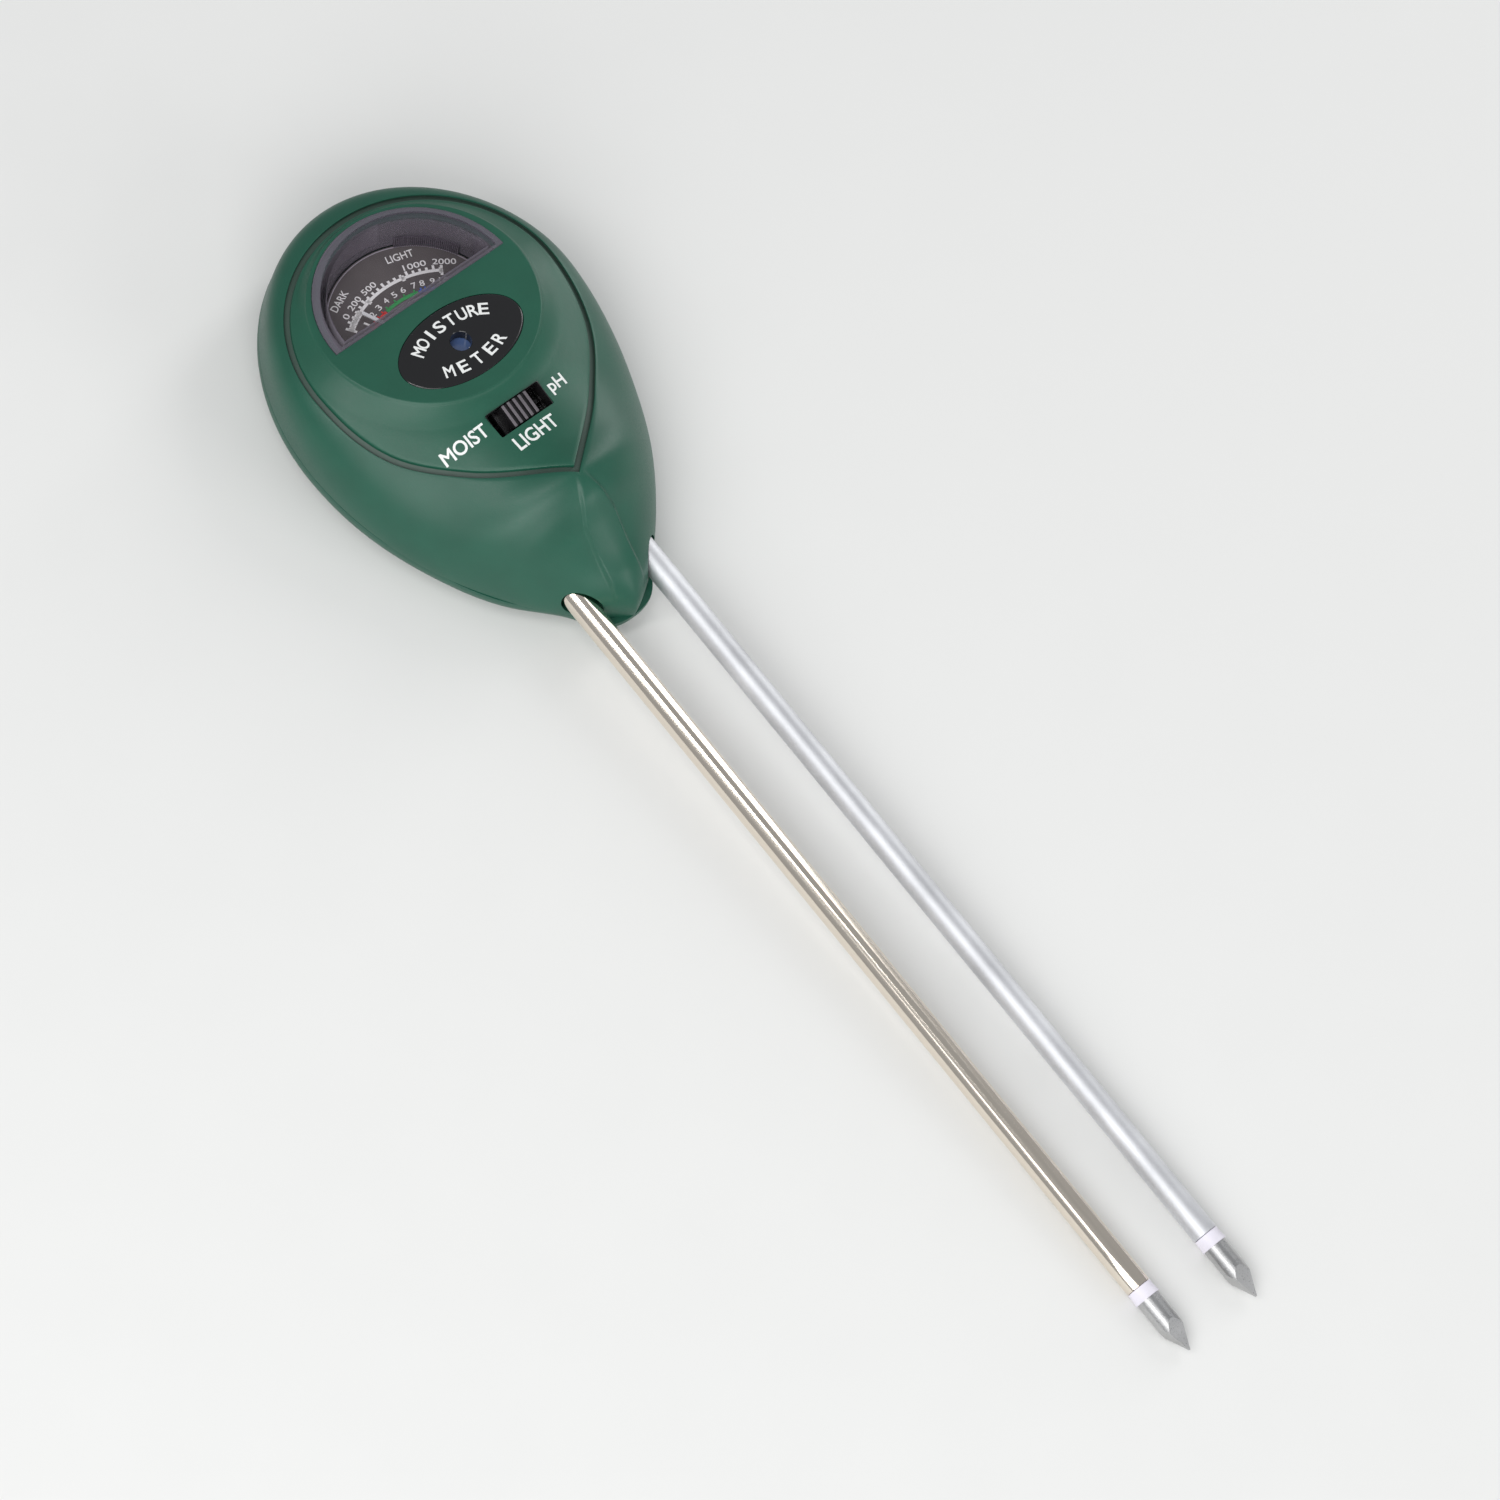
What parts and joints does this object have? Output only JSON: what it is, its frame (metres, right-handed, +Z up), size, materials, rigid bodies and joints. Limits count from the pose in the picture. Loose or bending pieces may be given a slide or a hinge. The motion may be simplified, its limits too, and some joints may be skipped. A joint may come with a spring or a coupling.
{
  "type": "soil moisture meter",
  "caption": "Green egg-shaped soil meter with a needle dial, a three-position slide switch and two metal probes, lying on its back.",
  "frame": {"origin": "centre of the overall box, on the surface that the meter lies on", "axes": "+Y from the probe tips to the head, +X to the right of someone who reads the dial, +Z up out of the face"},
  "size_m": [0.065, 0.2643, 0.0308],
  "materials": {
    "body_green": "satin",
    "panel_green": "satin",
    "back_green": "satin",
    "screw_steel": "satin",
    "clear_window": "gloss",
    "dial_grey": "matte",
    "label_black": "gloss",
    "inner_black": "matte",
    "sensor_cell": "gloss",
    "needle_white": "satin",
    "brass": "satin",
    "copper": "gloss",
    "steel": "satin",
    "spring_bronze": "satin",
    "knob_black": "satin",
    "switch_steel": "gloss",
    "phenolic": "matte",
    "resistor": "gloss",
    "nickel_tube": "gloss",
    "aluminium_tube": "satin",
    "ring_white": "satin",
    "tip_metal": "satin",
    "wire_red": "satin",
    "wire_black": "satin",
    "wire_blue": "satin"
  },
  "bodies": {
    "housing": {"front_shell": "body_green", "face_panel": "panel_green", "back_cover": "back_green", "cover_screws": "screw_steel", "dial_window": "clear_window", "dial_card": "dial_grey", "label_plate": "label_black", "sensor_holder": "inner_black", "light_sensor": "sensor_cell", "movement_tray": "inner_black", "magnet_core": "steel", "magnet_yoke": "steel", "hairspring": "spring_bronze", "upper_bridge": "brass", "lower_bridge": "inner_black", "jewel_screws": "brass", "needle_stops": "brass", "switch_frame": "switch_steel", "switch_base": "phenolic", "switch_terminals": "brass", "circuit_board": "phenolic", "board_resistors": "resistor", "left_probe": "nickel_tube", "right_probe": "aluminium_tube", "insulating_rings": "ring_white", "probe_tips": "tip_metal", "probe_clamp": "inner_black", "solder_tags": "brass", "left_probe_wire": "wire_red", "right_probe_wire": "wire_black", "meter_wire": "wire_blue"},
    "needle_movement": {"needle": "needle_white", "needle_hub": "brass", "moving_coil": "copper", "pivot_spindle": "steel"},
    "switch_slider": {"switch_knob": "knob_black"}
  },
  "joints": [
    {"name": "needle_swing", "type": "hinge", "parent": "housing", "child": "needle_movement", "pos_m": [0, 0.09394, 0.02012], "axis": [0, -0.1357, -0.9907], "range_deg": [-11, 56], "stiffness_Nm_per_rad": 0.00002},
    {"name": "switch_slide", "type": "slide", "parent": "housing", "child": "switch_slider", "axis": [1, 0, 0], "range_m": [-0.003, 0.003]}
  ]
}
